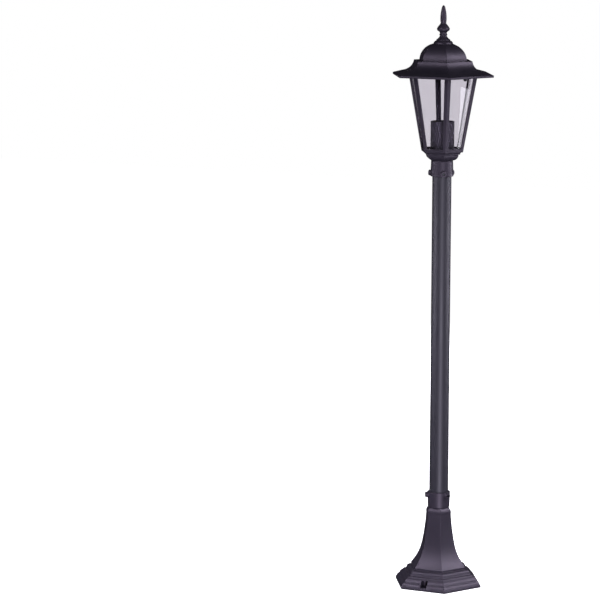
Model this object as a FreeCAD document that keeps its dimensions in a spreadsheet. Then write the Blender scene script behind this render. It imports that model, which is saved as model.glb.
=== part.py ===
"""Hexagonal garden post lantern: cast foot, clamped pole and glazed six-sided head.

Millimetres, +Z up, origin at the centre of the foot's underside. The hexagons have
corners on +X and -X, so a flat of each faces -Y.
"""
import FreeCAD, Part
import math
import os
import Sketcher
from FreeCAD import Placement, Rotation, Vector

doc = FreeCAD.newDocument("post_lantern")
sheet = doc.addObject("Spreadsheet::Sheet", "Sizes")

# Driving dimensions. "Half" is half of a hexagon's width across flats.
sizes = {
    # round hub that closes each hexagonal casting at its axis
    "hubHole": 9.0, "hubHalf": 12.0,
    # foot casting; an inset is how far a tier stands in from the foot's edge
    "footHalf": 73.9, "footRise": 144.5, "footWall": 3.5, "footEdge": 3.4, "lipStep": 0.7,
    "midInset": 5.6, "midRise": 11.2, "midGroove": 0.9, "swellArc": 14.0,
    "plinthInset": 12.7, "plinthRise": 19.5, "plinthEase": 2.0, "stepInset": 19.3, "stepRise": 25.4,
    "stepEase": 1.2, "coveInset": 27.1, "coveRise": 31.4, "beadStand": 2.2, "beadArc": 6.5,
    "skirtRise": 35.0, "flareArc": 99.0, "waistHalf": 28.2, "waistRise": 77.0, "waistArc": 423.0,
    "neckHalf": 21.4, "neckRise": 133.5, "shoulderArc": 12.0, "footTopHalf": 18.0,
    # anchor points in the foot
    "anchorInset": 13.4, "anchorPocket": 6.1, "anchorHole": 3.5, "anchorLedge": 5.5,
    "anchorWall": 2.8, "pocketDrop": 1.6,
    # clamp collars
    "collarFit": 0.3, "collarFootWall": 2.2, "collarMouthWall": 3.25, "collarRise": 29.5,
    "collarFloor": 4.0, "collarRound": 2.0, "collarEdge": 0.6, "bossWide": 5.2, "bossStand": 7.5,
    "grubThread": 2.5, "grubSink": 1.2, "gripGap": 0.1, "grubKey": 1.25, "grubEdge": 0.4,
    # pole
    "poleOuter": 17.5, "poleWall": 1.5, "poleLength": 636.9, "seatGap": 0.3,
    # hollow threaded nipples and their nuts
    "nippleOuter": 5.0, "nippleBore": 4.0, "nippleSpare": 2.0, "nutFlats": 14.0, "nutThick": 3.0,
    "threadGap": 0.05,
    # bowl under the cage
    "bowlFoot": 19.0, "bowlWaist": 27.8, "bowlWaistRise": 10.8, "bowlStep": 30.4, "bowlArc": 10.6,
    "bowlInset": 3.1, "bowlCove": 5.0, "bowlRise": 15.5, "bowlWall": 3.0,
    # cage
    "cageFoot": 35.3, "cageHead": 58.6, "cageRise": 141.5, "cageWall": 3.0, "cageFloor": 3.0,
    "sillRise": 6.0, "lintelDrop": 6.5, "stileFoot": 5.6, "stileHead": 6.9,
    "lugStand": 6.4, "lugWide": 6.0, "lugThick": 3.0, "lugFit": 0.4,
    # glass and its clips
    "paneThick": 3.0, "paneGap": 0.1, "paneEdge": 0.5, "paneTop": 1.0,
    "clipSheet": 0.8, "clipWide": 6.0, "clipLeg": 5.0, "clipOffset": 16.0,
    # roof
    "eaveGap": 5.5, "eaveRise": 9.9, "rimStand": 21.3, "rimBand": 4.0, "rimEdge": 0.4,
    "skirtSweep": 22.1, "shelfInset": 14.7, "shelfRise": 27.9, "shelfLedge": 9.3, "domeSweep": 31.4,
    "domeTop": 16.5, "domeRise": 58.0, "roofWall": 3.0, "crownGap": 0.2, "crownRing": 17.6,
    "crownNeck": 14.8, "crownArc": 6.0, "crownRise": 63.9, "seatRise": 4.4, "seatPad": 4.0,
    "seatClear": 0.2,
    # roof studs and cap nuts
    "studThread": 2.0, "studBite": 3.4, "capFlats": 7.0, "capHex": 3.2, "capRise": 7.4,
    "capSkin": 1.3, "capGap": 0.3,
    # finial, heights from its seat
    "finialFoot": 12.6, "finialFootRise": 1.8, "finialEdge": 0.6, "finialFlare": 14.0,
    "finialNeck": 6.4, "finialNeckRise": 7.9, "ringStand": 0.5, "ringRise": 9.6, "ringThick": 1.6,
    "ringArc": 0.85, "bulbFootRise": 13.6, "bulbFootArc": 3.6, "finialBulb": 11.2, "bulbWaist": 8.7,
    "bulbRise": 16.6, "bulbArc": 4.3, "bulbTopRise": 22.5, "bulbTopArc": 40.0, "finialSpear": 5.7,
    "spearFootRise": 30.1, "spearFootArc": 30.0, "spearRise": 39.6, "spearArc": 73.0, "tipDrop": 6.1,
    "tipArc": 8.0, "finialRise": 63.5, "finialStud": 3.0, "finialStudLong": 17.0,
    "finialNutFlats": 10.0, "finialNutThick": 5.0, "washerThick": 1.2,
    # lampholder
    "sleeveOuter": 21.0, "sleeveWall": 1.5, "sleeveRise": 52.5, "sleeveLip": 1.4, "holderGap": 1.5,
    "holderWall": 2.2, "holderTop": 3.0, "socketBore": 13.3, "socketSheet": 0.5, "socketLong": 23.0,
    "socketRim": 3.3, "socketGap": 0.1, "socketDrop": 1.0,
    "insertThick": 7.0, "insertWell": 3.8, "insertMouth": 8.5,
    "holderFloor": 4.0, "holderFoot": 11.0, "holderDrop": 0.5,
    "contactStem": 2.4, "contactGap": 0.6, "contactDisc": 6.0, "contactRise": 2.0,
    # wiring
    "leadOuter": 3.2, "leadSpare": 9.0, "coreOuter": 1.2, "bracketSheet": 2.0, "bracketWide": 16.0,
    "bracketSet": 11.5, "bracketLong": 66.0, "bracketBend": 3.0, "blockWide": 25.0,
    "blockTall": 17.0, "blockDeep": 13.0, "blockRise": 78.0, "polePitch": 8.0, "wayOuter": 2.4,
    "clampThread": 1.8, "earthDrop": 27.0, "earthThread": 2.0, "earthHead": 3.8, "earthPan": 2.4,
    "earthSpare": 5.0,
}
for row, (alias, size) in enumerate(sizes.items(), 1):
    sheet.set(f"A{row}", str(size))
    sheet.setAlias(f"A{row}", alias)
doc.recompute()

parts = []


def sized(expression):
    """The number that an expression of the sheet's sizes comes to."""
    return float(sheet.evalExpression(expand(expression)))


def expand(expression):
    """Puts the sheet's name before each of its aliases."""
    words = ""
    text = ""
    for letter in str(expression) + " ":
        if letter.isalnum() or letter == "_":
            words += letter
            continue
        text += ("Sizes." + words if words in sizes else words) + letter
        words = ""
    return text.strip()


def origin_plane(body, role):
    return next(item for item in body.Origin.OriginFeatures if item.Role == role)


def new_body(label, rise="0", turn=0.0):
    """A sub-part whose local origin stands at the height rise, turned about Z."""
    body = doc.addObject("PartDesign::Body", label)
    body.Label = label
    body.Placement = Placement(Vector(0, 0, 0), Rotation(Vector(0, 0, 1), turn))
    body.setExpression("Placement.Base.z", expand(rise))
    parts.append(body)
    return body


def new_sketch(body, name, role, lift=None):
    sketch = body.newObject("Sketcher::SketchObject", name)
    sketch.AttachmentSupport = [(origin_plane(body, role), "")]
    sketch.MapMode = "FlatFace"
    if lift is not None:
        sketch.setExpression("AttachmentOffset.Base.z", expand(lift))
    return sketch


def arc_between(start, end, radius, turn):
    """Circular arc from start to end; turn +1 bends left of the way there, -1 right."""
    chord = end - start
    half = chord.Length / 2
    reach = math.sqrt(max(radius * radius - half * half, 0.0))
    left = Vector(-chord.y, chord.x, 0).normalize()
    centre = (start + end) / 2 + left * reach * turn
    circle = Part.Circle(centre, Vector(0, 0, 1), radius)
    first, last = (start, end) if turn > 0 else (end, start)
    angles = [math.atan2(p.y - centre.y, p.x - centre.x) for p in (first, last)]
    return Part.ArcOfCircle(circle, angles[0], angles[1])


def outline(sketch, points, arcs=None):
    """Closed outline through the points, each an (x, y) pair of size expressions.

    arcs maps an edge's number to (radius expression, turn).
    """
    arcs = arcs or {}
    places = [Vector(sized(x), sized(y), 0) for x, y in points]
    count = len(places)
    base = sketch.GeometryCount
    starts = []
    for i, place in enumerate(places):
        after = places[(i + 1) % count]
        if i in arcs:
            radius, turn = arcs[i]
            sketch.addGeometry(arc_between(place, after, sized(radius), turn), False)
            starts.append((1, 2) if turn > 0 else (2, 1))
        else:
            sketch.addGeometry(Part.LineSegment(place, after), False)
            starts.append((1, 2))
    rules = []
    names = []
    for i, (x, y) in enumerate(points):
        here = starts[i][0]
        before = (i - 1) % count
        rules.append(Sketcher.Constraint("Coincident", base + before, starts[before][1], base + i, here))
        names.append(None)
        for kind, text, place, axis in (("DistanceX", x, places[i].x, -2), ("DistanceY", y, places[i].y, -1)):
            if text == "0":
                rules.append(Sketcher.Constraint("PointOnObject", base + i, here, axis))
                names.append(None)
            else:
                rules.append(Sketcher.Constraint(kind, -1, 1, base + i, here, place))
                names.append((f"{kind[-1].lower()}{base + i}", text))
        if i in arcs:
            rules.append(Sketcher.Constraint("Radius", base + i, sized(arcs[i][0])))
            names.append((f"r{base + i}", arcs[i][0]))
    bind(sketch, rules, names)


def circle(sketch, x, y, radius):
    """Circle centred on the point (x, y) of size expressions."""
    ring = Part.Circle(Vector(sized(x), sized(y), 0), Vector(0, 0, 1), sized(radius))
    number = sketch.addGeometry(ring, False)
    rules = []
    names = []
    for kind, text, axis in (("DistanceX", x, -2), ("DistanceY", y, -1)):
        if text == "0":
            rules.append(Sketcher.Constraint("PointOnObject", number, 3, axis))
            names.append(None)
        else:
            rules.append(Sketcher.Constraint(kind, -1, 1, number, 3, sized(text)))
            names.append((f"{kind[-1].lower()}{number}", text))
    rules.append(Sketcher.Constraint("Radius", number, sized(radius)))
    names.append((f"r{number}", radius))
    bind(sketch, rules, names)


def bind(sketch, rules, names):
    """Adds the constraints and ties the named ones to their size expressions."""
    first = sketch.ConstraintCount
    sketch.addConstraint(rules)
    for i, entry in enumerate(names):
        if entry:
            sketch.renameConstraint(first + i, entry[0])
            sketch.setExpression("Constraints." + entry[0], expand(entry[1]))


def hexagon_points(half):
    return [(f"({half}) * 2 / sqrt(3) * cos({60 * k})", f"({half}) * 2 / sqrt(3) * sin({60 * k})")
            for k in range(6)]


def spun(body, name, sketch, axis, cut=False):
    """Revolves a sketch a full turn about one of its own axes."""
    feature = body.newObject("PartDesign::Groove" if cut else "PartDesign::Revolution", name)
    feature.Profile = sketch
    feature.ReferenceAxis = (sketch, [axis])
    feature.Angle = 360.0
    doc.recompute()
    return feature


def turned(body, name, points, arcs=None, cut=False):
    """Turns an outline of (radius, height) about the body's Z axis."""
    sketch = new_sketch(body, name + "Outline", "XZ_Plane")
    outline(sketch, points, arcs)
    return spun(body, name, sketch, "V_Axis", cut)


def moulded(body, name, half, points, arcs=None, cut=False):
    """Runs a section of (half flat, height) round a hexagon with mitred corners."""
    path = new_sketch(body, name + "Path", "XY_Plane")
    outline(path, hexagon_points(half))
    section = new_sketch(body, name + "Section", "YZ_Plane")
    outline(section, points, arcs)
    feature = body.newObject("PartDesign::SubtractivePipe" if cut else "PartDesign::AdditivePipe", name)
    feature.Profile = section
    feature.Spine = (path, [])
    feature.Transition = "Right corner"
    doc.recompute()
    return feature


def padded(body, name, sketch, length, reverse=False):
    feature = body.newObject("PartDesign::Pad", name)
    feature.Profile = sketch
    feature.setExpression("Length", expand(length))
    feature.Reversed = reverse
    doc.recompute()
    return feature


def pocketed(body, name, sketch, length, reverse=False):
    before = body.Shape.Volume
    feature = body.newObject("PartDesign::Pocket", name)
    feature.Profile = sketch
    feature.setExpression("Length", expand(length))
    feature.Reversed = reverse
    doc.recompute()
    if body.Shape.Volume > before - 0.01:
        raise RuntimeError(f"{body.Label}: {name} cuts nothing")
    return feature


def repeated(body, name, features, count):
    """Repeats features about the body's Z axis."""
    pattern = body.newObject("PartDesign::PolarPattern", name)
    pattern.Originals = features
    pattern.Axis = (origin_plane(body, "Z_Axis"), [""])
    pattern.Angle = 360.0
    pattern.Occurrences = count
    body.Tip = pattern
    doc.recompute()
    return pattern


# Heights of the joints between the sub-parts, foot to tip.
foot_top = "footRise"
pole_foot = f"({foot_top} + collarFloor + seatGap)"
pole_top = f"({pole_foot} + poleLength)"
bowl_foot = f"({pole_top} + seatGap + collarFloor)"
cage_foot = f"({bowl_foot} + bowlRise)"
cage_floor = f"({cage_foot} + cageFloor)"
cage_top = f"({cage_foot} + cageRise)"
roof_foot = f"({cage_top} + seatClear - seatRise)"
crown_top = f"({roof_foot} + crownRise)"
boss_reach = "(poleOuter + bossStand)"
crown_hole = "(finialStud + crownGap)"
nut_turn = 60.0

# Radii and half flats that follow a neighbour.
plinth_half = "(footHalf - plinthInset)"
anchor_circle = "(footHalf - anchorInset)"
lug_circle = "(cageHead + lugStand)"
eave_half = "(cageHead + eaveGap)"
holder_outer = "(sleeveOuter - sleeveWall - holderGap)"
nipple_fit = "nippleOuter + threadGap"


def slot_plan(sketch, half):
    """Outline of an anchor slot: round at the anchor screw and open towards the foot's edge."""
    outline(sketch, [
        (f"-({half})", "-footHalf - 1"), (half, "-footHalf - 1"), (half, f"-{anchor_circle}"),
        (f"-({half})", f"-{anchor_circle}")], {2: (f"({half}) * 1.001", 1)})


def foot_casting():
    """Hollow hexagonal casting: plinth, stepped moulding, flared body and flat top."""
    body = new_body("foot_casting")
    step = "(footHalf - stepInset)"
    cove = "(footHalf - coveInset)"
    mid = "(footHalf - midInset)"
    # The plinth's lip and its two swells, with a fine groove between them.
    slope = [("footHalf", "0"), ("footHalf", "footEdge"), ("footHalf - lipStep", "footEdge + lipStep * 0.4"),
             (mid, "midRise"), (f"{mid} - midGroove", "midRise + midGroove * 0.7"),
             (plinth_half, "plinthRise")]
    outer = [
        *slope, (f"{plinth_half} - plinthEase", "plinthRise + 1.1 * plinthEase"),
        (f"{step} + stepEase", "plinthRise + 1.4 * plinthEase"), (step, "stepRise"),
        (f"{cove} + beadStand", "coveRise - lipStep * 0.6"), (cove, "coveRise"), (cove, "skirtRise"),
        ("waistHalf", "waistRise"), ("neckHalf", "neckRise"), ("footTopHalf", "footRise"),
    ]
    inner = [
        ("hubHole", "footRise"), ("hubHole", "footRise - footWall"),
        ("footTopHalf - footWall", "footRise - footWall"), ("neckHalf - footWall", "neckRise - footWall"),
        ("waistHalf - footWall", "waistRise"), (f"{cove} - footWall", "skirtRise - footWall"),
        (f"{cove} - footWall", "coveRise - footWall"), (f"{step} - footWall", "stepRise - footWall"),
        (f"{plinth_half} - 1.5 * footWall", "plinthRise - footWall"),
        ("footHalf - footWall", "footEdge"), ("footHalf - footWall", "0"),
    ]
    swells = {2: ("swellArc", 1), 4: ("swellArc", 1)}
    bends = {**swells, 8: ("beadArc", 1), 11: ("flareArc", -1), 12: ("waistArc", -1), 13: ("shoulderArc", 1)}
    # The same two sweeps on the inner wall, run the other way.
    bends[len(outer) + 3] = ("waistArc", 1)
    bends[len(outer) + 4] = ("flareArc + footWall", 1)
    moulded(body, "Shell", "footHalf", outer + inner, bends)
    turned(body, "TopDisc", [
        (nipple_fit, "footRise - footWall"), ("hubHalf", "footRise - footWall"), ("hubHalf", "footRise"),
        (nipple_fit, "footRise")])
    # Walls round the anchor slots, trimmed back to the plinth's slope.
    well = new_sketch(body, "WellOutline", "XY_Plane")
    slot_plan(well, "anchorPocket + anchorWall")
    wells = padded(body, "Well", well, "plinthRise")
    repeated(body, "Wells", [wells], 3)
    moulded(body, "WellTrim", "footHalf", [
        *slope, (plinth_half, "plinthRise + 1"), ("footHalf + 20", "plinthRise + 1"), ("footHalf + 20", "0")],
        swells, cut=True)
    mouth = new_sketch(body, "PocketOutline", "XY_Plane", "anchorLedge")
    slot_plan(mouth, "anchorPocket")
    mouths = pocketed(body, "Pocket", mouth, "plinthRise - pocketDrop - anchorLedge", reverse=True)
    hole = new_sketch(body, "HoleOutline", "XY_Plane")
    circle(hole, "0", f"-{anchor_circle}", "anchorHole")
    holes = pocketed(body, "AnchorHole", hole, "anchorLedge + 1", reverse=True)
    repeated(body, "Anchors", [mouths, holes], 3)
    return body


def collar(label, rise, turn, upside_down):
    """Round clamp cup with three bosses near its mouth, drilled for grub screws."""
    body = new_body(label, rise, turn)
    if upside_down:
        body.Placement = Placement(body.Placement.Base, Rotation(Vector(0, 0, 1), turn)
                                   * Rotation(Vector(1, 0, 0), 180))
    bore = "(poleOuter + collarFit)"
    foot = f"({bore} + collarFootWall)"
    mouth = f"({bore} + collarMouthWall)"
    turned(body, "Cup", [
        ("0", "0"), (f"{foot} - collarRound", "0"), (foot, "collarRound"),
        (mouth, "collarRise - collarEdge"), (f"{mouth} - collarEdge", "collarRise"), ("0", "collarRise")],
        {1: ("collarRound", 1)})
    boss = new_sketch(body, "BossOutline", "YZ_Plane")
    circle(boss, "0", "collarRise - bossWide", "bossWide")
    bosses = padded(body, "Boss", boss, boss_reach)
    repeated(body, "Bosses", [bosses], 3)
    turned(body, "Bore", [
        ("0", "collarFloor"), (bore, "collarFloor"), (bore, "collarRise + 1"),
        ("0", "collarRise + 1")], cut=True)
    turned(body, "NippleHole", [
        ("0", "-1"), (nipple_fit, "-1"), (nipple_fit, "collarFloor + 1"),
        ("0", "collarFloor + 1")], cut=True)
    thread = new_sketch(body, "ThreadOutline", "YZ_Plane")
    circle(thread, "0", "collarRise - bossWide", "grubThread + threadGap")
    threads = pocketed(body, "GrubHole", thread, f"{boss_reach} + 1", reverse=True)
    repeated(body, "GrubHoles", [threads], 3)
    return body


def grub_screws(label, rise, turn):
    """Three hexagon socket set screws that grip the pole."""
    body = new_body(label, rise, turn)
    tip = "(poleOuter + gripGap)"
    head = f"({boss_reach} - grubSink)"
    shank = new_sketch(body, "ShankOutline", "XZ_Plane")
    outline(shank, [
        (tip, "0"), (head, "0"), (head, "grubThread - grubEdge"), (f"{head} - grubEdge", "grubThread"),
        (f"{tip} + grubEdge", "grubThread"), (tip, "grubThread - grubEdge")])
    screw = spun(body, "Shank", shank, "H_Axis")
    key = new_sketch(body, "KeyOutline", "YZ_Plane", head)
    outline(key, hexagon_points("grubKey"))
    socket = pocketed(body, "Key", key, "grubKey * 2")
    repeated(body, "Screws", [screw, socket], 3)
    return body


def tube(label, rise, length, outer, bore, bevel="0.5"):
    """Round tube with bevelled outer ends."""
    body = new_body(label, rise)
    turned(body, "Wall", [
        (bore, "0"), (f"{outer} - {bevel}", "0"), (outer, bevel), (outer, f"{length} - {bevel}"),
        (f"{outer} - {bevel}", length), (bore, length)])
    return body


def hex_nut(label, rise, flats, bore, thick):
    """Hexagon nut with the corners of both faces turned off."""
    body = new_body(label, rise)
    plan = new_sketch(body, "NutPlan", "XY_Plane")
    outline(plan, hexagon_points(f"{flats} / 2"))
    circle(plan, "0", "0", bore)
    padded(body, "Nut", plan, thick)
    start = f"{flats} * 0.49"
    end = f"({flats} / sqrt(3) + 0.5)"
    drop = f"({flats} * 0.06)"
    turned(body, "LowerChamfer", [(start, "0"), (end, "0"), (end, drop)], cut=True)
    turned(body, "UpperChamfer", [(start, thick), (end, thick), (end, f"{thick} - {drop}")], cut=True)
    return body


def pole():
    return tube("pole_tube", pole_foot, "poleLength", "poleOuter", "poleOuter - poleWall")


def bowl():
    """Stepped hexagonal bowl that the cage stands on."""
    body = new_body("lantern_bowl", bowl_foot)
    mouth = "(cageFoot - bowlInset)"
    points = [
        ("bowlFoot", "0"), ("bowlWaist", "bowlWaistRise"), ("bowlStep", "bowlWaistRise + 0.1 * bowlWall"),
        (mouth, "bowlRise - 0.13 * bowlWall"), (mouth, "bowlRise"), (f"{mouth} - bowlWall", "bowlRise"),
        (f"{mouth} - bowlWall", "bowlWaistRise + bowlWall * 0.6"),
        ("bowlWaist - bowlWall", "bowlWaistRise"), ("bowlFoot - bowlWall * 0.3", "bowlWall"),
        ("hubHole", "bowlWall"), ("hubHole", "0")]
    moulded(body, "Shell", "bowlWaist", points, {0: ("bowlArc", 1), 2: ("bowlCove", -1)})
    turned(body, "Floor", [
        (nipple_fit, "0"), ("hubHalf", "0"), ("hubHalf", "bowlWall"), (nipple_fit, "bowlWall")])
    return body


def cage():
    """Tapered hexagonal frame: floor, sill, six corner stiles, head ring and two roof lugs."""
    body = new_body("cage_casting", cage_foot, nut_turn)
    slope = "((cageHead - cageFoot) / cageRise)"
    wall = f"(cageWall * sqrt(1 + {slope} * {slope}))"
    moulded(body, "Shell", "cageFoot", [
        ("cageFoot", "0"), ("cageHead", "cageRise"), (f"cageHead - {wall}", "cageRise"),
        (f"cageFoot + {slope} * cageFloor - {wall}", "cageFloor"), ("hubHole", "cageFloor"),
        ("hubHole", "0")])
    turned(body, "Floor", [
        (nipple_fit, "0"), ("hubHalf", "0"), ("hubHalf", "cageFloor"), (nipple_fit, "cageFloor")])
    sill_half = f"((cageFoot + {slope} * sillRise) * tan(30) - stileFoot)"
    lintel_half = f"((cageHead - {slope} * lintelDrop) * tan(30) - stileHead)"
    window = new_sketch(body, "WindowOutline", "XZ_Plane")
    outline(window, [
        (f"-{sill_half}", "sillRise"), (sill_half, "sillRise"),
        (lintel_half, "cageRise - lintelDrop"), (f"-{lintel_half}", "cageRise - lintelDrop")])
    windows = pocketed(body, "Window", window, "cageHead + 5")
    repeated(body, "Windows", [windows], 6)
    lug = new_sketch(body, "LugOutline", "XY_Plane", "cageRise - lugThick")
    outline(lug, [
        ("lugWide", "cageHead - cageWall * 0.5"), ("lugWide", lug_circle),
        ("-lugWide", lug_circle), ("-lugWide", "cageHead - cageWall * 0.5")], {1: ("lugWide * 1.02", 1)})
    circle(lug, "0", lug_circle, "studThread + lugFit")
    lugs = padded(body, "Lug", lug, "lugThick")
    repeated(body, "Lugs", [lugs], 2)
    return body


def panes():
    """Six flat glass panes, each standing on the cage's floor behind a window."""
    slope = "((cageHead - cageFoot) / cageRise)"
    along = f"sqrt(1 + {slope} * {slope})"
    run = "(cageRise - cageFloor - paneTop)"
    outer = f"(cageFoot + {slope} * cageFloor - cageWall * {along} - paneGap)"
    foot_half = f"(({outer} - paneThick * {along}) * tan(30) - paneEdge)"
    head_half = f"({foot_half} + {slope} * {run} * tan(30))"
    lean = math.degrees(math.atan(sized(slope)))
    for azimuth in range(0, 360, 60):
        body = doc.addObject("PartDesign::Body", f"glass_pane_{azimuth:03d}")
        body.Label = f"glass_pane_{azimuth:03d}"
        parts.append(body)
        # Local X runs across the pane, Y up its slope and Z outwards.
        plan = new_sketch(body, "PanePlan", "XY_Plane")
        outline(plan, [(f"-{foot_half}", "0"), (foot_half, "0"), (head_half, f"{run} * {along}"),
                       (f"-{head_half}", f"{run} * {along}")])
        padded(body, "Glass", plan, "paneThick", reverse=True)
        foot = Vector(0, -sized(outer), sized(f"{cage_floor} + paneGap"))
        stand = Placement(foot, Rotation(Vector(1, 0, 0), 90 + lean))
        body.Placement = Placement(Vector(0, 0, 0), Rotation(Vector(0, 0, 1), azimuth)).multiply(stand)


def clips():
    """Sheet clips that hook over the head ring and hold the panes' top edges, two to a pane."""
    body = new_body("pane_clips", cage_top)
    slope = "((cageHead - cageFoot) / cageRise)"
    outer = "(cageHead + paneGap)"
    inner = f"({outer} - (cageWall + paneThick) * sqrt(1 + {slope} * {slope}) - paneGap * 3)"
    lean = f"{slope} * clipLeg"
    hooks = []
    for name, offset, reverse in (("Hook", "clipOffset", False), ("MirrorHook", "-clipOffset", True)):
        section = new_sketch(body, name + "Section", "YZ_Plane", offset)
        outline(section, [
            (f"{outer} - {lean}", "-clipLeg"), (f"{outer} + clipSheet - {lean}", "-clipLeg"),
            (f"{outer} + clipSheet", "clipSheet"), (f"{inner} - clipSheet", "clipSheet"),
            (f"{inner} - clipSheet - {lean}", "-clipLeg"), (f"{inner} - {lean}", "-clipLeg"),
            (inner, "paneGap / 2"), (outer, "paneGap / 2")])
        hooks.append(padded(body, name, section, "clipWide", reverse))
    repeated(body, "Clips", hooks, 6)
    return body


def roof():
    """Cast roof: swept skirt with a drip rim, flat shelf, six-sided dome and round crown."""
    body = new_body("roof_casting", roof_foot, nut_turn)
    rim = f"({eave_half} + rimStand)"
    shelf = f"({eave_half} - shelfInset)"
    dome = f"({shelf} - shelfLedge)"
    moulded(body, "Shell", eave_half, [
        (f"{rim} - rimEdge", "0"), (rim, "rimEdge"), (rim, "rimBand - rimEdge"),
        (f"{rim} - rimEdge", "rimBand"), (eave_half, "eaveRise"), (shelf, "shelfRise"), (dome, "shelfRise"), ("domeTop", "domeRise"),
        ("hubHole", "domeRise"), ("hubHole", "domeRise - roofWall"), ("domeTop", "domeRise - roofWall"),
        (f"{dome} - roofWall", "shelfRise - roofWall"), (f"{shelf} - roofWall", "shelfRise - roofWall"),
        (f"{eave_half} - roofWall * 0.27", "eaveRise - roofWall * 0.96"),
        (f"{rim} - roofWall", "rimBand - roofWall * 0.77"), (f"{rim} - roofWall", "0")],
        {4: ("skirtSweep", -1), 6: ("domeSweep", 1), 10: ("domeSweep - roofWall", -1),
         12: ("skirtSweep + roofWall", 1)})
    turned(body, "Crown", [
        (crown_hole, "domeRise - roofWall"), ("hubHalf", "domeRise - roofWall"), ("hubHalf", "domeRise - 1"),
        ("crownRing", "domeRise - 1"), ("crownRing", "domeRise + crownGap * 3"),
        ("crownNeck", "crownRise - 1"), ("finialFoot + crownGap", "crownRise"), (crown_hole, "crownRise")],
        {4: ("crownArc", 1)})
    pad = new_sketch(body, "PadOutline", "XY_Plane", "seatRise")
    circle(pad, "0", lug_circle, "seatPad")
    pads = padded(body, "Pad", pad, "eaveRise - 0.65 * roofWall - seatRise")
    socket = new_sketch(body, "SocketOutline", "XY_Plane", "seatRise")
    circle(socket, "0", lug_circle, "studThread")
    sockets = pocketed(body, "Socket", socket, "studBite", reverse=True)
    repeated(body, "Seats", [pads, sockets], 2)
    return body


def roof_studs():
    """Two studs cast into the roof's seats."""
    body = new_body("roof_studs", f"{cage_top} - lugThick - capRise + capSkin + capGap", nut_turn)
    section = new_sketch(body, "StudPlan", "XY_Plane")
    circle(section, "0", lug_circle, "studThread")
    stud = padded(body, "Stud", section, "capRise - capSkin - capGap + lugThick + seatClear + studBite")
    repeated(body, "Studs", [stud], 2)
    return body


def cap_nuts():
    """Domed nuts under the cage's lugs that hold the roof down."""
    body = new_body("roof_cap_nuts", f"{cage_top} - lugThick - capRise", nut_turn)
    plan = new_sketch(body, "HexPlan", "XY_Plane", "capRise - capHex")
    outline(plan, [(f"capFlats / sqrt(3) * cos({60 * k})",
                    f"{lug_circle} + capFlats / sqrt(3) * sin({60 * k})") for k in range(6)])
    hexagon = padded(body, "Hex", plan, "capHex")
    dome_half = "(capFlats * 0.46)"
    section = new_sketch(body, "DomeSection", "YZ_Plane")
    section.setExpression("AttachmentOffset.Base.x", expand(lug_circle))
    outline(section, [
        ("0", "0"), (dome_half, dome_half), (dome_half, "capRise - capHex + 0.1"),
        ("0", "capRise - capHex + 0.1")], {0: (dome_half, 1)})
    dome = spun(body, "Dome", section, "V_Axis")
    hole = new_sketch(body, "BoreOutline", "XY_Plane", "capRise")
    circle(hole, "0", lug_circle, "studThread + threadGap * 2")
    bore = pocketed(body, "Bore", hole, "capRise - capSkin")
    repeated(body, "Nuts", [hexagon, dome, bore], 2)
    return body


def finial():
    """Turned spear finial on a bulb, with its stud through the roof's crown."""
    body = new_body("finial", crown_top)
    ring_top = "(ringRise + ringThick)"
    turned(body, "Spear", [
        ("0", "-finialStudLong"), ("finialStud - grubEdge", "-finialStudLong"),
        ("finialStud", "grubEdge - finialStudLong"), ("finialStud", "0"), ("finialFoot - finialEdge", "0"),
        ("finialFoot", "finialEdge"), ("finialFoot", "finialFootRise"),
        ("finialFoot - 1.5 * finialEdge", "finialFootRise + finialEdge * 0.8"),
        ("finialNeck", "finialNeckRise"), ("finialNeck", "ringRise - finialEdge"),
        ("finialNeck + ringStand", "ringRise"), ("finialNeck + ringStand", ring_top),
        ("finialNeck", f"{ring_top} + finialEdge"), ("finialNeck", "bulbFootRise"), ("bulbWaist", "bulbRise"),
        ("finialBulb", "bulbTopRise"), ("finialSpear - finialEdge / 2", "spearFootRise"),
        ("finialSpear", "spearFootRise + 1.5 * finialEdge"),
        ("finialSpear * 0.86", "spearFootRise + 2.5 * finialEdge"), ("finialSpear", "spearRise"),
        ("finialSpear * 0.62", "finialRise - tipDrop"), ("finialEdge", "finialRise - finialEdge / 3"),
        ("0", "finialRise")],
        {7: ("finialFlare", -1), 10: ("ringArc", 1), 13: ("bulbFootArc", -1), 14: ("bulbArc", 1),
         15: ("bulbTopArc", 1), 18: ("spearFootArc", 1), 19: ("spearArc", 1), 20: ("tipArc", 1)})
    under_crown = f"({roof_foot} + domeRise - roofWall)"
    washer = new_body("finial_washer", f"{under_crown} - washerThick")
    turned(washer, "Washer", [(crown_hole, "0"), ("finialNutFlats * 0.7", "0"),
                              ("finialNutFlats * 0.7", "washerThick"), (crown_hole, "washerThick")])
    hex_nut("finial_nut", f"{under_crown} - washerThick - finialNutThick", "finialNutFlats",
            "finialStud + threadGap", "finialNutThick")


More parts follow.
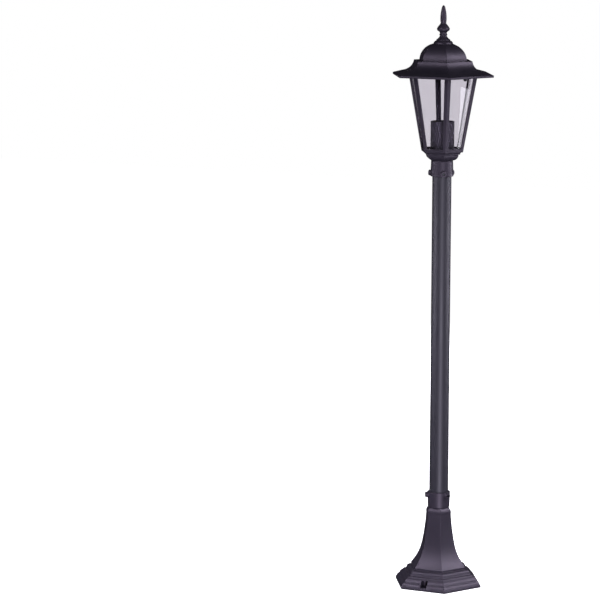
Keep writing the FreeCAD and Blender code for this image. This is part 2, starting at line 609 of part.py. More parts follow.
def lampholder():
    """Screw lampholder on the nipple: cover sleeve, body, insert, threaded shell and contact."""
    sleeve = new_body("holder_sleeve", cage_floor)
    bore = "(sleeveOuter - sleeveWall)"
    edge = "(sleeveLip * 0.6)"
    lip = f"({bore} - sleeveLip)"
    turned(sleeve, "Sleeve", [
        (bore, "0"), ("sleeveOuter", "0"), ("sleeveOuter", f"sleeveRise - {edge}"),
        (f"sleeveOuter - {edge}", "sleeveRise"), (lip, "sleeveRise"), (lip, "sleeveRise - sleeveLip"),
        (bore, "sleeveRise - sleeveLip")], {2: (edge, 1)})
    holder_foot = f"({cage_floor} + nutThick + holderDrop)"
    depth = "(sleeveRise - nutThick - holderDrop - holderTop)"
    ledge = f"({depth} - socketLong - socketDrop)"
    cavity = f"({holder_outer} - holderWall)"
    fit = "(socketBore + socketSheet + socketGap)"
    holder = new_body("lampholder_body", holder_foot)
    turned(holder, "Body", [
        (nipple_fit, "0"), ("holderFoot", "0"), (holder_outer, "holderFloor + 1"), (holder_outer, depth),
        (fit, depth), (fit, ledge), (cavity, ledge), (cavity, "insertThick"),
        ("holderFoot - holderWall", "holderFloor"), (nipple_fit, "holderFloor")])
    # The insert's rim stands in the body's bore and carries the shell clear of the contact.
    insert_top = f"({holder_foot} + {ledge})"
    insert = new_body("holder_insert", f"{insert_top} - insertThick")
    turned(insert, "Disc", [
        ("contactStem + contactGap", "0"), (f"{cavity} - socketGap", "0"),
        (f"{cavity} - socketGap", "insertThick"), (f"{fit} - socketGap", "insertThick"),
        (f"{fit} - socketGap", "insertThick + insertWell"), ("insertMouth", "insertThick + insertWell"),
        ("insertMouth", "insertThick"), ("contactStem + contactGap", "insertThick")])
    shell = new_body("socket_shell", f"{insert_top} + insertWell + socketGap")
    rise = "(socketLong - insertWell - socketGap)"
    turned(shell, "Shell", [
        ("socketBore - socketRim", "0"), ("socketBore + socketSheet", "0"),
        ("socketBore + socketSheet", rise), ("socketBore", rise), ("socketBore", "socketSheet"),
        ("socketBore - socketRim", "socketSheet")])
    contact = new_body("centre_contact", insert_top)
    turned(contact, "Button", [
        ("0", "-insertThick - 1"), ("contactStem", "-insertThick - 1"), ("contactStem", "contactRise"),
        ("contactDisc", "contactRise"), ("contactDisc", "contactRise + 1.6 * socketSheet"),
        ("contactDisc / 2", "contactRise + 3.2 * socketSheet"), ("0", "contactRise + 3.2 * socketSheet")])
    hex_nut("holder_nut", cage_floor, "nutFlats", nipple_fit, "nutThick")
    start = f"({pole_top} + seatGap - nutThick - nippleSpare)"
    tube("head_nipple", start, f"({holder_foot} + holderFloor + nippleSpare * 0.75 - {start})",
         "nippleOuter", "nippleBore", "grubEdge")
    hex_nut("head_lock_nut", f"{pole_top} + seatGap - nutThick", "nutFlats", nipple_fit, "nutThick")


def foot_fixings():
    """Hollow nipple and lock nuts that clamp the lower collar and the bracket to the foot."""
    under = f"({foot_top} - footWall)"
    upper = f"({foot_top} + collarFloor)"
    start = f"({under} - bracketSheet - nutThick - nippleSpare)"
    tube("foot_nipple", start, f"({upper} + nutThick + nippleSpare - {start})",
         "nippleOuter", "nippleBore", "grubEdge")
    hex_nut("collar_lock_nut", upper, "nutFlats", nipple_fit, "nutThick")
    hex_nut("foot_lock_nut", f"{under} - bracketSheet - nutThick", "nutFlats", nipple_fit, "nutThick")


def bracket():
    """Sheet bracket hung from the foot's nipple."""
    body = new_body("terminal_bracket", f"{foot_top} - footWall - bracketSheet")
    side = new_sketch(body, "Side", "YZ_Plane", "-bracketWide / 2")
    far = "(bracketSet + bracketSheet)"
    outline(side, [
        ("-bracketSet", "0"), ("bracketSet - bracketBend", "0"), ("bracketSet", "-bracketBend"),
        ("bracketSet", "-bracketLong"), (far, "-bracketLong"), (far, "-bracketBend"),
        ("bracketSet - bracketBend", "bracketSheet"), ("-bracketSet", "bracketSheet")],
        {1: ("bracketBend", -1), 5: ("bracketBend + bracketSheet", 1)})
    padded(body, "Strip", side, "bracketWide")
    hole = new_sketch(body, "NippleHoleOutline", "XY_Plane", "bracketSheet")
    circle(hole, "0", "0", nipple_fit)
    pocketed(body, "NippleHole", hole, "bracketSheet * 2")
    screw_hole = new_sketch(body, "EarthHoleOutline", "XZ_Plane", "-bracketSet")
    circle(screw_hole, "0", "-earthDrop", "earthThread + threadGap")
    pocketed(body, "EarthHole", screw_hole, "bracketSheet * 2")
    return body


def earth_point():
    """Pan-head screw and nut through the bracket for the earth conductor."""
    rise = f"{foot_top} - footWall - bracketSheet - earthDrop"
    screw = new_body("earth_screw", rise)
    section = new_sketch(screw, "ScrewOutline", "YZ_Plane")
    end = "(bracketSet + bracketSheet + earthSpare)"
    outline(section, [
        ("bracketSet - earthPan", "0"), (end, "0"), (end, "earthThread - grubEdge"),
        (f"{end} - grubEdge", "earthThread"), ("bracketSet", "earthThread"), ("bracketSet", "earthHead"),
        ("bracketSet - earthPan + 1", "earthHead"), ("bracketSet - earthPan", "earthHead - 1")],
        {6: ("1.05", 1)})
    spun(screw, "Screw", section, "H_Axis")
    slot = new_sketch(screw, "SlotOutline", "XZ_Plane", "earthPan - bracketSet")
    outline(slot, [("-earthHead - 1", "-0.5"), ("earthHead + 1", "-0.5"), ("earthHead + 1", "0.5"),
                   ("-earthHead - 1", "0.5")])
    pocketed(screw, "Slot", slot, "earthPan / 2")
    nut = new_body("earth_nut", rise)
    plan = new_sketch(nut, "NutPlan", "XZ_Plane", "-bracketSet - bracketSheet")
    outline(plan, hexagon_points("capFlats / 2"))
    circle(plan, "0", "0", "earthThread + threadGap")
    padded(nut, "Nut", plan, "capHex", reverse=True)


def terminal_block():
    """Three-way terminal block on the bracket, its brass ways and its clamp screws."""
    block = new_body("terminal_block", "blockRise")
    front = "(bracketSet - blockDeep)"
    way = "(bracketSet - blockDeep * 0.4)"
    plan = new_sketch(block, "BlockPlan", "XY_Plane")
    outline(plan, [("-blockWide / 2", front), ("blockWide / 2", front), ("blockWide / 2", "bracketSet"),
                   ("-blockWide / 2", "bracketSet")])
    padded(block, "Block", plan, "blockTall")
    ways = new_body("terminal_ways", "blockRise + 1")
    screws = new_body("terminal_screws", "blockRise + blockTall / 2")
    for name, offset in (("Left", "-polePitch"), ("Middle", "0"), ("Right", "polePitch")):
        bore = new_sketch(block, name + "BoreOutline", "XY_Plane")
        circle(bore, offset, way, "wayOuter + threadGap")
        pocketed(block, name + "Bore", bore, "blockTall + 1", reverse=True)
        port = new_sketch(block, name + "PortOutline", "XZ_Plane", f"-{front}")
        circle(port, offset, "blockTall / 2", "clampThread + threadGap * 2")
        pocketed(block, name + "Port", port, f"{way} - wayOuter - {front} + 0.5")
        ring = new_sketch(ways, name + "WayOutline", "XY_Plane")
        circle(ring, offset, way, "wayOuter")
        circle(ring, offset, way, "coreOuter + 0.5")
        padded(ways, name + "Way", ring, "blockTall - 2")
        shank = new_sketch(screws, name + "ScrewOutline", "XZ_Plane", f"-{front} - 1")
        circle(shank, offset, "0", "clampThread")
        padded(screws, name + "Screw", shank, f"{way} - wayOuter - {front} - 1.1", reverse=True)
        slot = new_sketch(screws, name + "SlotOutline", "XZ_Plane", f"-{front} - 1")
        outline(slot, [(f"{offset} - 2", "-0.35"), (f"{offset} + 2", "-0.35"), (f"{offset} + 2", "0.35"),
                       (f"{offset} - 2", "0.35")])
        pocketed(screws, name + "Slot", slot, "0.8")


def bent_tube(points, radius, bend):
    """Round conductor along straight runs joined by tangent arcs."""
    edges = []
    here = points[0]
    for corner, after in zip(points[1:-1], points[2:]):
        entry = (corner - here).normalize()
        leave = (after - corner).normalize()
        turn = entry.getAngle(leave)
        reach = bend * math.tan(turn / 2)
        start = corner - entry * reach
        end = corner + leave * reach
        middle = corner + (leave - entry).normalize() * bend * (1 / math.cos(turn / 2) - 1)
        edges += [Part.LineSegment(here, start).toShape(), Part.Arc(start, middle, end).toShape()]
        here = end
    edges.append(Part.LineSegment(here, points[-1]).toShape())
    path = Part.Wire(edges)
    ring = Part.Wire(Part.Circle(points[0], (points[1] - points[0]).normalize(), radius).toShape())
    return path.makePipeShell([ring], True, False)


def conductors(label, height, ends, along):
    """Insulated cores that fan out from the lead's end at the given height; ends lists (x, y)."""
    shapes = []
    count = len(ends)
    for i, (x, y) in enumerate(ends):
        angle = 2 * math.pi * i / count + math.pi
        spread = sized("leadOuter") - sized("coreOuter") - 0.5
        start = Vector(spread * math.cos(angle), spread * math.sin(angle), height)
        shapes.append(bent_tube([
            start, start + Vector(0, 0, along * 0.3), Vector(x, y, height + along * 0.65),
            Vector(x, y, height + along)], sized("coreOuter"), 1.8 * sized("coreOuter")))
    cores = doc.addObject("Part::Feature", label)
    cores.Label = label
    cores.Shape = Part.Compound(shapes)
    parts.append(cores)


def wiring():
    """Sheathed lead through both nipples, and its cores at the two ends."""
    foot = "(blockRise + blockTall + leadSpare)"
    top = f"({cage_floor} + nutThick + holderDrop + holderFloor + nippleSpare)"
    lead = new_body("internal_lead", foot)
    turned(lead, "Sheath", [
        ("0", "0"), ("leadOuter", "0"), ("leadOuter", f"{top} - {foot}"), ("0", f"{top} - {foot}")])
    way = sized("bracketSet - blockDeep * 0.4")
    pitch = sized("polePitch")
    conductors("foot_cores", sized(foot), [(-pitch, way), (0, way), (pitch, way)], -sized("leadSpare") - 4)
    room = sized("sleeveRise - nutThick - holderDrop - holderTop - socketLong - socketDrop - insertThick"
                 " - holderFloor - nippleSpare")
    conductors("holder_cores", sized(top), [(-pitch, 0), (pitch, 0)], room)


def collars_and_screws():
    mouth = "(collarRise - bossWide)"
    collar("foot_collar", foot_top, -23.0, upside_down=False)
    grub_screws("foot_collar_screws", f"{foot_top} + {mouth}", -23.0)
    collar("head_collar", bowl_foot, 60.0, upside_down=True)
    grub_screws("head_collar_screws", f"{bowl_foot} - {mouth}", 60.0)


def write_parts():
    """Recomputes, checks every object and writes one STEP file for each sub-part."""
    doc.recompute()
    for item in doc.Objects:
        if {"Invalid", "Error"} & set(item.State):
            raise RuntimeError(f"{item.Label} failed: {item.State}")
    os.makedirs("parts", exist_ok=True)
    for part in parts:
        if part.Shape.isNull() or not part.Shape.isValid() or not part.Shape.Solids:
            raise RuntimeError(f"{part.Label} has no valid solid")
        part.Shape.exportStep(f"parts/{part.Label}.step")
        print(f"{part.Label:22s} {len(part.Shape.Solids):3d} {part.Shape.Volume / 1000:9.3f} cm3")


foot_casting()
foot_fixings()
collars_and_screws()
pole()
bowl()
cage()
panes()
clips()
cap_nuts()
lampholder()
bracket()
earth_point()
terminal_block()
wiring()
roof()
roof_studs()
finial()
write_parts()
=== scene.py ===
import math

import bpy
from mathutils import Euler, Matrix, Vector

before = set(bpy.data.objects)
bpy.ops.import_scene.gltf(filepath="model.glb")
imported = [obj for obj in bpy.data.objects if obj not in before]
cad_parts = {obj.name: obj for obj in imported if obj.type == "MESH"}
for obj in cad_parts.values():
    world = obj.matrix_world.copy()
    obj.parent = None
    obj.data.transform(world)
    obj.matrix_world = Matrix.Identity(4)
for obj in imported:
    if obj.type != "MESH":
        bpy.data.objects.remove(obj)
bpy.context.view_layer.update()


# node building

def newGroup(name, inputs, outputs):
    group = bpy.data.node_groups.new(name, "ShaderNodeTree")
    for label, kind, value in inputs:
        socket = group.interface.new_socket(label, in_out="INPUT", socket_type=kind)
        socket.default_value = value
    for label, kind in outputs:
        group.interface.new_socket(label, in_out="OUTPUT", socket_type=kind)
    return group, group.nodes.new("NodeGroupInput"), group.nodes.new("NodeGroupOutput")


def fillSockets(tree, node, values):
    # another node's socket is linked, anything else is set
    for key, value in values.items():
        if isinstance(value, bpy.types.NodeSocket):
            tree.links.new(value, node.inputs[key])
        else:
            node.inputs[key].default_value = value


def addNode(tree, kind, values=None, **props):
    node = tree.nodes.new(kind)
    for key, value in props.items():
        setattr(node, key, value)
    fillSockets(tree, node, values or {})
    return node


def maths(tree, operation, first, second=0.0, clamp=False):
    return addNode(tree, "ShaderNodeMath", {0: first, 1: second},
                   operation=operation, use_clamp=clamp).outputs[0]


def ramp(tree, factor, low, high):
    # 0 below low, 1 above high
    return addNode(tree, "ShaderNodeMapRange",
                   {"Value": factor, "From Min": low, "From Max": high}, clamp=True).outputs["Result"]


def blendColours(tree, factor, first, second):
    # sockets 6 and 7 are the Mix node's two colours, output 2 the mixed one
    return addNode(tree, "ShaderNodeMix", {0: factor, 6: first, 7: second},
                   data_type="RGBA").outputs[2]


def shade(red, green, blue):
    return (red, green, blue, 1.0)


def toned(colour, factor, lift=0.0):
    return shade(*(min(channel * factor + lift, 1.0) for channel in colour[:3]))


def objectPlace(tree):
    return addNode(tree, "ShaderNodeTexCoord").outputs["Object"]


# shared effects

def makePeelGroup():
    # the fine orange peel and the broad clouds of a baked coat
    group, entry, result = newGroup(
        "coatPeel",
        [("Size", "NodeSocketFloat", 0.0012), ("Clouding", "NodeSocketFloat", 0.35)],
        [("Height", "NodeSocketFloat"), ("Cloud", "NodeSocketFloat")])
    place = objectPlace(group)
    density = maths(group, "DIVIDE", 1.0, entry.outputs["Size"])
    fine = addNode(group, "ShaderNodeTexNoise",
                   {"Vector": place, "Scale": density, "Detail": 3.0, "Roughness": 0.55})
    pits = addNode(group, "ShaderNodeTexVoronoi",
                   {"Vector": place, "Scale": maths(group, "MULTIPLY", density, 0.6),
                    "Smoothness": 0.6}, feature="SMOOTH_F1")
    height = maths(group, "ADD", maths(group, "MULTIPLY", fine.outputs["Fac"], 0.55),
                   maths(group, "MULTIPLY", pits.outputs["Distance"], 0.45))
    broad = addNode(group, "ShaderNodeTexNoise",
                    {"Vector": place, "Scale": 14.0, "Detail": 4.0, "Roughness": 0.6})
    cloud = maths(group, "MULTIPLY", ramp(group, broad.outputs["Fac"], 0.3, 0.72),
                  entry.outputs["Clouding"])
    fillSockets(group, result, {"Height": height, "Cloud": cloud})
    return group


def makeEdgeGroup():
    # where edges are rubbed: the rounded normal leaves the flat one there
    group, entry, result = newGroup(
        "edgeRub",
        [("Radius", "NodeSocketFloat", 0.0012), ("Breakup", "NodeSocketFloat", 0.5)],
        [("Mask", "NodeSocketFloat"), ("Normal", "NodeSocketVector")])
    soft = addNode(group, "ShaderNodeBevel", {"Radius": entry.outputs["Radius"]}, samples=6)
    hard = addNode(group, "ShaderNodeNewGeometry").outputs["Normal"]
    likeness = addNode(group, "ShaderNodeVectorMath", {0: soft.outputs[0], 1: hard},
                       operation="DOT_PRODUCT")
    edge = ramp(group, likeness.outputs["Value"], 0.995, 0.86)
    grit = addNode(group, "ShaderNodeTexNoise",
                   {"Vector": objectPlace(group), "Scale": 160.0, "Detail": 3.0})
    gaps = maths(group, "MULTIPLY", ramp(group, grit.outputs["Fac"], 0.42, 0.62),
                 entry.outputs["Breakup"])
    kept = maths(group, "SUBTRACT", 1.0, gaps)
    fillSockets(group, result, {"Mask": maths(group, "MULTIPLY", edge, kept, clamp=True),
                                "Normal": soft.outputs[0]})
    return group


def makeDustGroup():
    # light dust lying on what faces up
    group, entry, result = newGroup(
        "settledDust",
        [("Amount", "NodeSocketFloat", 0.2), ("Patch", "NodeSocketFloat", 30.0)],
        [("Mask", "NodeSocketFloat")])
    normal = addNode(group, "ShaderNodeNewGeometry").outputs["Normal"]
    up = addNode(group, "ShaderNodeSeparateXYZ", {0: normal}).outputs["Z"]
    patches = addNode(group, "ShaderNodeTexNoise",
                      {"Vector": objectPlace(group), "Scale": entry.outputs["Patch"],
                       "Detail": 5.0, "Roughness": 0.65})
    lying = maths(group, "MULTIPLY", ramp(group, up, 0.35, 0.95),
                  ramp(group, patches.outputs["Fac"], 0.38, 0.75))
    mask = maths(group, "MULTIPLY", lying, entry.outputs["Amount"], clamp=True)
    fillSockets(group, result, {"Mask": mask})
    return group


coatPeel = makePeelGroup()
edgeRub = makeEdgeGroup()
settledDust = makeDustGroup()
print("shared effects ready")


def newMaterial(name):
    material = bpy.data.materials.new(name)
    material.use_nodes = True
    tree = material.node_tree
    tree.nodes.clear()
    output = tree.nodes.new("ShaderNodeOutputMaterial")
    shader = tree.nodes.new("ShaderNodeBsdfPrincipled")
    tree.links.new(shader.outputs[0], output.inputs[0])
    return material, tree, shader


def useGroup(tree, group, values):
    return addNode(tree, "ShaderNodeGroup", values, node_tree=group)


# finishes

powderCoat = {
    "colour": shade(0.018, 0.0152, 0.0235),
    "clouding": 0.5,
    "cloudTone": 1.35,                 # how much lighter the clouds are
    "worn": shade(0.050, 0.045, 0.060),
    "wear": 0.55,                      # how far a rubbed edge goes to the worn colour
    "edgeRadius": 0.0011,
    "edgeBreakup": 0.6,
    "dust": shade(0.16, 0.15, 0.15),
    "dustAmount": 0.06,
    "dustPatch": 40.0,
    "roughness": (0.45, 0.55),
    "peelSize": 0.0011,
    "peelDepth": 0.00006,
    "peelStrength": 0.6,
    "ior": 1.5,
    "gloss": 0.5,
    "sheen": shade(0.94, 0.80, 1.0),   # colour of the gloss
}

tubeCoat = {
    **powderCoat,
    "colour": shade(0.016, 0.0150, 0.021),
    "edgeRadius": 0.0006,
    "peelSize": 0.0009,
    "peelDepth": 0.00004,
    "sheen": shade(0.93, 0.89, 1.0),
}


def makePowderCoat(name, settings):
    material, tree, shader = newMaterial(name)
    peel = useGroup(tree, coatPeel, {"Size": settings["peelSize"], "Clouding": settings["clouding"]})
    edge = useGroup(tree, edgeRub, {"Radius": settings["edgeRadius"],
                                    "Breakup": settings["edgeBreakup"]})
    dust = useGroup(tree, settledDust, {"Amount": settings["dustAmount"],
                                        "Patch": settings["dustPatch"]})
    clouded = blendColours(tree, peel.outputs["Cloud"], settings["colour"],
                           toned(settings["colour"], settings["cloudTone"]))
    wear = maths(tree, "MULTIPLY", edge.outputs["Mask"], settings["wear"])
    rubbed = blendColours(tree, wear, clouded, settings["worn"])
    low, high = settings["roughness"]
    rough = addNode(tree, "ShaderNodeMapRange",
                    {"Value": peel.outputs["Cloud"], "From Max": settings["clouding"],
                     "To Min": low, "To Max": high})
    bump = addNode(tree, "ShaderNodeBump",
                   {"Strength": settings["peelStrength"], "Distance": settings["peelDepth"],
                    "Height": peel.outputs["Height"], "Normal": edge.outputs["Normal"]})
    fillSockets(tree, shader, {
        "Base Color": blendColours(tree, dust.outputs["Mask"], rubbed, settings["dust"]),
        "Roughness": rough.outputs["Result"],
        "Normal": bump.outputs[0],
        "IOR": settings["ior"],
        "Specular IOR Level": settings["gloss"],
        "Specular Tint": settings["sheen"],
    })
    return material


paneGlass = {
    "tint": shade(0.827, 0.803, 0.849),
    "filmTone": 0.97,                  # how much darker a smear is
    "smearScale": 22.0,
    "waveScale": 18.0,
    "waveDepth": 0.0004,
    "waveStrength": 0.04,
    "roughness": 0.0,
    "ior": 1.5,
}


def makePaneGlass(name, settings):
    material, tree, shader = newMaterial(name)
    place = objectPlace(tree)
    smears = addNode(tree, "ShaderNodeTexNoise",
                     {"Vector": place, "Scale": settings["smearScale"], "Detail": 5.0,
                      "Roughness": 0.7})
    film = blendColours(tree, ramp(tree, smears.outputs["Fac"], 0.35, 0.7), settings["tint"],
                        toned(settings["tint"], settings["filmTone"]))
    waves = addNode(tree, "ShaderNodeTexNoise",
                    {"Vector": place, "Scale": settings["waveScale"], "Detail": 1.0})
    bump = addNode(tree, "ShaderNodeBump",
                   {"Strength": settings["waveStrength"], "Distance": settings["waveDepth"],
                    "Height": waves.outputs["Fac"]})
    fillSockets(tree, shader, {
        "Base Color": film,
        "Normal": bump.outputs[0],
        "Roughness": settings["roughness"],
        "IOR": settings["ior"],
        "Transmission Weight": 1.0,
        "Metallic": 0.0,
    })
    return material


metalSkin = {
    "filmScale": 90.0,
    "roughShare": (0.8, 1.3),          # lowest and highest part of a metal's roughness
    "markDepth": 0.00004,
    "markStrength": 0.2,
    "edgeRadius": 0.0003,
    "edgeBreakup": 0.2,
}

metals = {
    "zincPlate": {"colour": shade(0.62, 0.62, 0.60), "film": shade(0.42, 0.42, 0.42),
                  "roughness": 0.32, "grain": 900.0},
    "blackOxide": {"colour": shade(0.035, 0.035, 0.04), "film": shade(0.02, 0.02, 0.022),
                   "roughness": 0.38, "grain": 900.0},
    "springSteel": {"colour": shade(0.50, 0.50, 0.52), "film": shade(0.36, 0.36, 0.38),
                    "roughness": 0.28, "grain": 700.0},
    "turnedBrass": {"colour": shade(0.70, 0.48, 0.20), "film": shade(0.45, 0.30, 0.13),
                    "roughness": 0.25, "grain": 800.0},
}


def makeMetal(name, settings):
    # turned or pressed metal with fine marks and a dull patchy film
    material, tree, shader = newMaterial(name)
    place = objectPlace(tree)
    film = addNode(tree, "ShaderNodeTexNoise",
                   {"Vector": place, "Scale": settings["filmScale"], "Detail": 5.0,
                    "Roughness": 0.65})
    marks = addNode(tree, "ShaderNodeTexNoise",
                    {"Vector": place, "Scale": settings["grain"], "Detail": 2.0})
    low, high = (settings["roughness"] * share for share in settings["roughShare"])
    rough = addNode(tree, "ShaderNodeMapRange",
                    {"Value": film.outputs["Fac"], "From Min": 0.3, "From Max": 0.7,
                     "To Min": low, "To Max": high})
    edge = useGroup(tree, edgeRub, {"Radius": settings["edgeRadius"],
                                    "Breakup": settings["edgeBreakup"]})
    bump = addNode(tree, "ShaderNodeBump",
                   {"Strength": settings["markStrength"], "Distance": settings["markDepth"],
                    "Height": marks.outputs["Fac"], "Normal": edge.outputs["Normal"]})
    fillSockets(tree, shader, {
        "Base Color": blendColours(tree, ramp(tree, film.outputs["Fac"], 0.4, 0.75),
                                   settings["colour"], settings["film"]),
        "Roughness": rough.outputs["Result"],
        "Normal": bump.outputs[0],
        "Metallic": 1.0,
    })
    return material


mouldedSkin = {
    "clouding": 0.4,
    "cloudTone": 1.25,
    "cloudLift": 0.004,
    "roughGrowth": 1.25,
    "grain": 0.0006,
    "grainDepth": 0.00003,
    "grainStrength": 0.4,
    "edgeRadius": 0.0004,
    "edgeBreakup": 0.3,
}

mouldings = {
    "blackSleeve": {"colour": shade(0.023, 0.018, 0.030), "roughness": 0.60},
    "blackHolder": {"colour": shade(0.014, 0.014, 0.015), "roughness": 0.45},
    "terminalWhite": {"colour": shade(0.72, 0.71, 0.67), "roughness": 0.5},
    "firedClay": {"colour": shade(0.66, 0.63, 0.56), "roughness": 0.75, "grain": 0.0004,
                  "grainDepth": 0.00005},
    "leadRubber": {"colour": shade(0.014, 0.014, 0.015), "roughness": 0.6},
    "coreCover": {"colour": shade(0.20, 0.07, 0.03), "roughness": 0.45},
}


def makeMoulded(name, settings):
    # moulded plastic, rubber or fired clay with a fine skin
    material, tree, shader = newMaterial(name)
    peel = useGroup(tree, coatPeel, {"Size": settings["grain"], "Clouding": settings["clouding"]})
    edge = useGroup(tree, edgeRub, {"Radius": settings["edgeRadius"],
                                    "Breakup": settings["edgeBreakup"]})
    lighter = toned(settings["colour"], settings["cloudTone"], settings["cloudLift"])
    rough = addNode(tree, "ShaderNodeMapRange",
                    {"Value": peel.outputs["Cloud"], "From Max": settings["clouding"],
                     "To Min": settings["roughness"],
                     "To Max": min(settings["roughness"] * settings["roughGrowth"], 1.0)})
    bump = addNode(tree, "ShaderNodeBump",
                   {"Strength": settings["grainStrength"], "Distance": settings["grainDepth"],
                    "Height": peel.outputs["Height"], "Normal": edge.outputs["Normal"]})
    fillSockets(tree, shader, {
        "Base Color": blendColours(tree, peel.outputs["Cloud"], settings["colour"], lighter),
        "Roughness": rough.outputs["Result"],
        "Normal": bump.outputs[0],
    })
    return material


finishes = {
    "castCoat": makePowderCoat("castCoat", powderCoat),
    "tubeCoat": makePowderCoat("tubeCoat", tubeCoat),
    "clearPane": makePaneGlass("clearPane", paneGlass),
}
for name, settings in metals.items():
    finishes[name] = makeMetal(name, {**metalSkin, **settings})
for name, settings in mouldings.items():
    finishes[name] = makeMoulded(name, {**mouldedSkin, **settings})

nodeFinishes = {
    "castCoat": ["foot_casting", "foot_collar", "head_collar", "lantern_bowl", "cage_casting",
                 "roof_casting", "finial"],
    "tubeCoat": ["pole_tube"],
    "clearPane": [f"glass_pane_{azimuth:03d}" for azimuth in range(0, 360, 60)],
    "zincPlate": ["roof_studs", "finial_washer", "finial_nut", "foot_nipple", "collar_lock_nut",
                  "foot_lock_nut", "head_nipple", "head_lock_nut", "holder_nut",
                  "terminal_bracket", "terminal_screws"],
    "blackOxide": ["foot_collar_screws", "head_collar_screws", "roof_cap_nuts"],
    "springSteel": ["pane_clips"],
    "turnedBrass": ["socket_shell", "centre_contact", "terminal_ways", "earth_screw", "earth_nut"],
    "blackSleeve": ["holder_sleeve"],
    "blackHolder": ["lampholder_body"],
    "terminalWhite": ["terminal_block"],
    "firedClay": ["holder_insert"],
    "leadRubber": ["internal_lead"],
    "coreCover": ["foot_cores", "holder_cores"],
}
for finish, nodes in nodeFinishes.items():
    for node in nodes:
        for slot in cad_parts[node].material_slots:
            slot.material = finishes[finish]
for node in nodeFinishes["clearPane"]:
    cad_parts[node].visible_shadow = False   # the panes let the studio's light in
print("finishes on", sum(len(nodes) for nodes in nodeFinishes.values()), "nodes")


# studio

def placeRound(azimuth, distance, height):
    # a point at an azimuth round the lamp, 0 in front (-Y) and 90 on the right (+X)
    turn = math.radians(azimuth)
    return Vector((distance * math.sin(turn), -distance * math.cos(turn), height))


cameraPlace = {
    "azimuth": 22.0,
    "distance": 5.2,
    "height": 1.35,
    "pitch": 8.957,
    "pan": 2.840,
    "roll": 0.14,
    "lens": 172.2,
    "sensorWidth": 36.0,
    "farthest": 50.0,
}


def makeCamera(settings):
    data = bpy.data.cameras.new("studioCamera")
    data.lens = settings["lens"]
    data.sensor_width = settings["sensorWidth"]
    data.clip_end = settings["farthest"]
    camera = bpy.data.objects.new("studioCamera", data)
    camera.location = placeRound(settings["azimuth"], settings["distance"], settings["height"])
    aim = Euler((math.radians(90.0 - settings["pitch"]), 0.0,
                 math.radians(settings["azimuth"] + settings["pan"]))).to_matrix()
    aim = aim @ Matrix.Rotation(math.radians(settings["roll"]), 3, "Z")
    camera.rotation_euler = aim.to_euler()
    bpy.context.collection.objects.link(camera)
    bpy.context.scene.camera = camera


studio = {
    "floorSize": 12.0,
    "paperColour": shade(0.9, 0.9, 0.9),
    "paperRoughness": 0.9,
    "paper": 1.0,                # how bright the paper floor and the surround look
    "roomLight": 0.012,          # what the dark room gives back to the coat
    "backdropAzimuth": 202.0,    # the white backdrop stands behind the lamp
    "backdropEdge": 0.3,         # how softly its reflection ends
}


def makeFloor(settings):
    half = settings["floorSize"] / 2
    mesh = bpy.data.meshes.new("studioFloor")
    corners = [(-half, -half, 0), (half, -half, 0), (half, half, 0), (-half, half, 0)]
    mesh.from_pydata(corners, [], [(0, 1, 2, 3)])
    material, tree, shader = newMaterial("floorPaper")
    fillSockets(tree, shader, {
        "Base Color": settings["paperColour"],
        "Roughness": settings["paperRoughness"],
        "Emission Color": shade(1.0, 1.0, 1.0),
        "Emission Strength": settings["paper"],
    })
    mesh.materials.append(material)
    floor = bpy.data.objects.new("studioFloor", mesh)
    floor.visible_glossy = False
    floor.visible_diffuse = False
    floor.visible_shadow = False
    floor.visible_transmission = False
    bpy.context.collection.objects.link(floor)


def makeRoom(settings):
    # white where it is looked at directly or through the panes, dim for everything else;
    # a reflection in a pane finds white only on the backdrop's side
    world = bpy.data.worlds.new("studioRoom")
    world.use_nodes = True
    tree = world.node_tree
    path = addNode(tree, "ShaderNodeLightPath")
    direction = addNode(tree, "ShaderNodeTexCoord").outputs["Generated"]
    facing = addNode(tree, "ShaderNodeVectorMath",
                     {0: direction, 1: placeRound(settings["backdropAzimuth"], 1.0, 0.0)},
                     operation="DOT_PRODUCT").outputs["Value"]
    behind = ramp(tree, facing, 0.0, settings["backdropEdge"])
    mirrored = maths(tree, "MINIMUM", path.outputs["Glossy Depth"], 1.0)
    lost = maths(tree, "MULTIPLY", mirrored, maths(tree, "SUBTRACT", 1.0, behind))
    spent = maths(tree, "ADD", path.outputs["Diffuse Depth"], lost)
    straight = maths(tree, "SUBTRACT", 1.0, spent, clamp=True)
    seen = maths(tree, "MAXIMUM", path.outputs["Is Camera Ray"],
                 path.outputs["Is Transmission Ray"])
    level = addNode(tree, "ShaderNodeMapRange",
                    {"Value": maths(tree, "MULTIPLY", seen, straight),
                     "To Min": settings["roomLight"], "To Max": settings["paper"]})
    fillSockets(tree, tree.nodes["Background"],
                {"Color": shade(1.0, 1.0, 1.0), "Strength": level.outputs["Result"]})
    bpy.context.scene.world = world


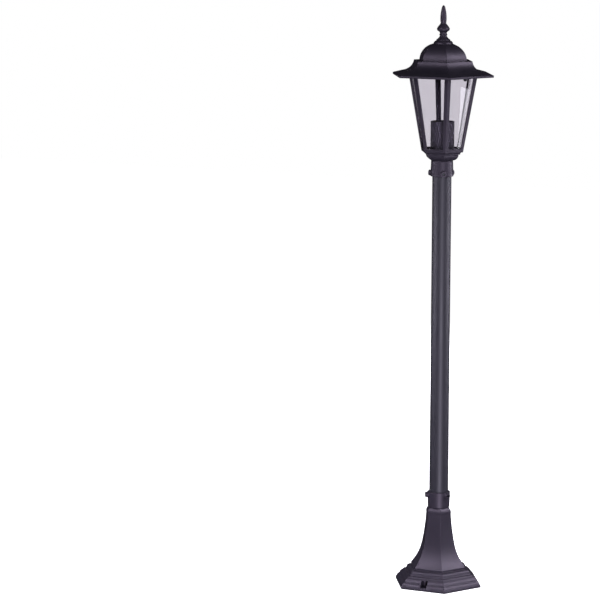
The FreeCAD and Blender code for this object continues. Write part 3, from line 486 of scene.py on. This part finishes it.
# azimuth, distance and height place a box; aim is the height on the pole that it faces
softBoxes = {
    "frontBox": {"azimuth": 40.0, "distance": 3.2, "height": 0.40, "aim": 0.5,
                 "size": (1.4, 0.9), "power": 5.6},
    "frontStrip": {"azimuth": 30.0, "distance": 2.4, "height": -0.65, "aim": -0.65,
                   "size": (0.14, 2.2), "power": 60.0},   # draws the long light on the pole
    "leftStrip": {"azimuth": -76.0, "distance": 2.0, "height": 0.58, "aim": 0.66,
                  "size": (0.2, 0.4), "power": 2.0, "spread": 130.0},
    "rightStrip": {"azimuth": 131.0, "distance": 2.0, "height": 0.58, "aim": 0.66,
                   "size": (0.2, 0.4), "power": 2.9, "spread": 130.0},
    "headRight": {"azimuth": 97.0, "distance": 1.5, "height": 1.50, "aim": 0.94,
                  "size": (0.7, 0.6), "power": 7.6, "spread": 130.0},
    "headLeft": {"azimuth": -24.0, "distance": 1.5, "height": 1.50, "aim": 0.94,
                 "size": (0.7, 0.6), "power": 5.4, "spread": 130.0},
    "footRight": {"azimuth": 112.0, "distance": 0.8, "height": 0.56, "aim": 0.02,
                  "size": (0.35, 0.3), "power": 2.3, "spread": 130.0},
    "footLeft": {"azimuth": -50.0, "distance": 0.7, "height": 0.56, "aim": 0.02,
                 "size": (0.3, 0.3), "power": 2.2, "spread": 130.0},
    "backFill": {"azimuth": 210.0, "distance": 2.6, "height": 1.2, "aim": 0.5,
                 "size": (1.5, 1.5), "power": 60.0, "glossy": False},
}
boxTint = (1.0, 0.99, 1.09)


def softBox(name, azimuth, distance, height, aim, size, power, spread=180.0, glossy=True):
    data = bpy.data.lights.new(name, "AREA")
    data.shape = "RECTANGLE"
    data.size, data.size_y = size
    data.energy = power
    data.color = boxTint
    data.spread = math.radians(spread)
    light = bpy.data.objects.new(name, data)
    light.location = placeRound(azimuth, distance, height)
    facing = Vector((0, 0, aim)) - light.location
    light.rotation_euler = facing.to_track_quat("-Z", "Y").to_euler()
    light.visible_camera = False
    light.visible_transmission = False
    light.visible_glossy = glossy
    bpy.context.collection.objects.link(light)


makeCamera(cameraPlace)
makeFloor(studio)
makeRoom(studio)
for name, settings in softBoxes.items():
    softBox(name, **settings)
bpy.context.scene.view_settings.view_transform = "Standard"
print("studio ready")
